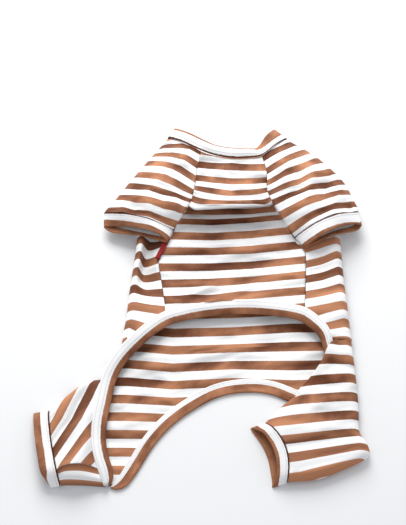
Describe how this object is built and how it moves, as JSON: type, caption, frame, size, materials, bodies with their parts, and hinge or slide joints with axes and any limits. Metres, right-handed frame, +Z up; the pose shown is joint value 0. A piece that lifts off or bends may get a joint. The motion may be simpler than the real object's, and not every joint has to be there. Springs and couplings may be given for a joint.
{
  "type": "dog jumpsuit",
  "caption": "Four-legged jersey jumpsuit for a small dog, striped brown and white, laid flat on its back with banded neck, sleeves, legs and open seat.",
  "frame": {"origin": "under the middle of the garment's bounding box, on the surface that it lies on", "axes": "+Z up from the surface, +Y from the tail to the neck, +X to the right as seen from above with the neck away"},
  "size_m": [0.3338, 0.4142, 0.0417],
  "materials": {
    "striped_jersey": "soft knitted jersey with even brown and white stripes",
    "band_jersey": "doubled striped jersey, white half beside the seam and brown half at the free edge",
    "label_tape": "plain woven red tape"
  },
  "bodies": {
    "root": {"back_panel": "striped_jersey", "front_panel": "striped_jersey", "left_sleeve": "striped_jersey", "right_sleeve": "striped_jersey", "left_sleeve_cuff": "band_jersey", "right_sleeve_cuff": "band_jersey", "left_leg": "striped_jersey", "right_leg": "striped_jersey", "left_leg_cuff": "band_jersey", "right_leg_cuff": "band_jersey", "neck_band": "band_jersey", "belly_binding": "band_jersey", "tail_binding": "band_jersey", "side_label": "label_tape"}
  },
  "joints": []
}
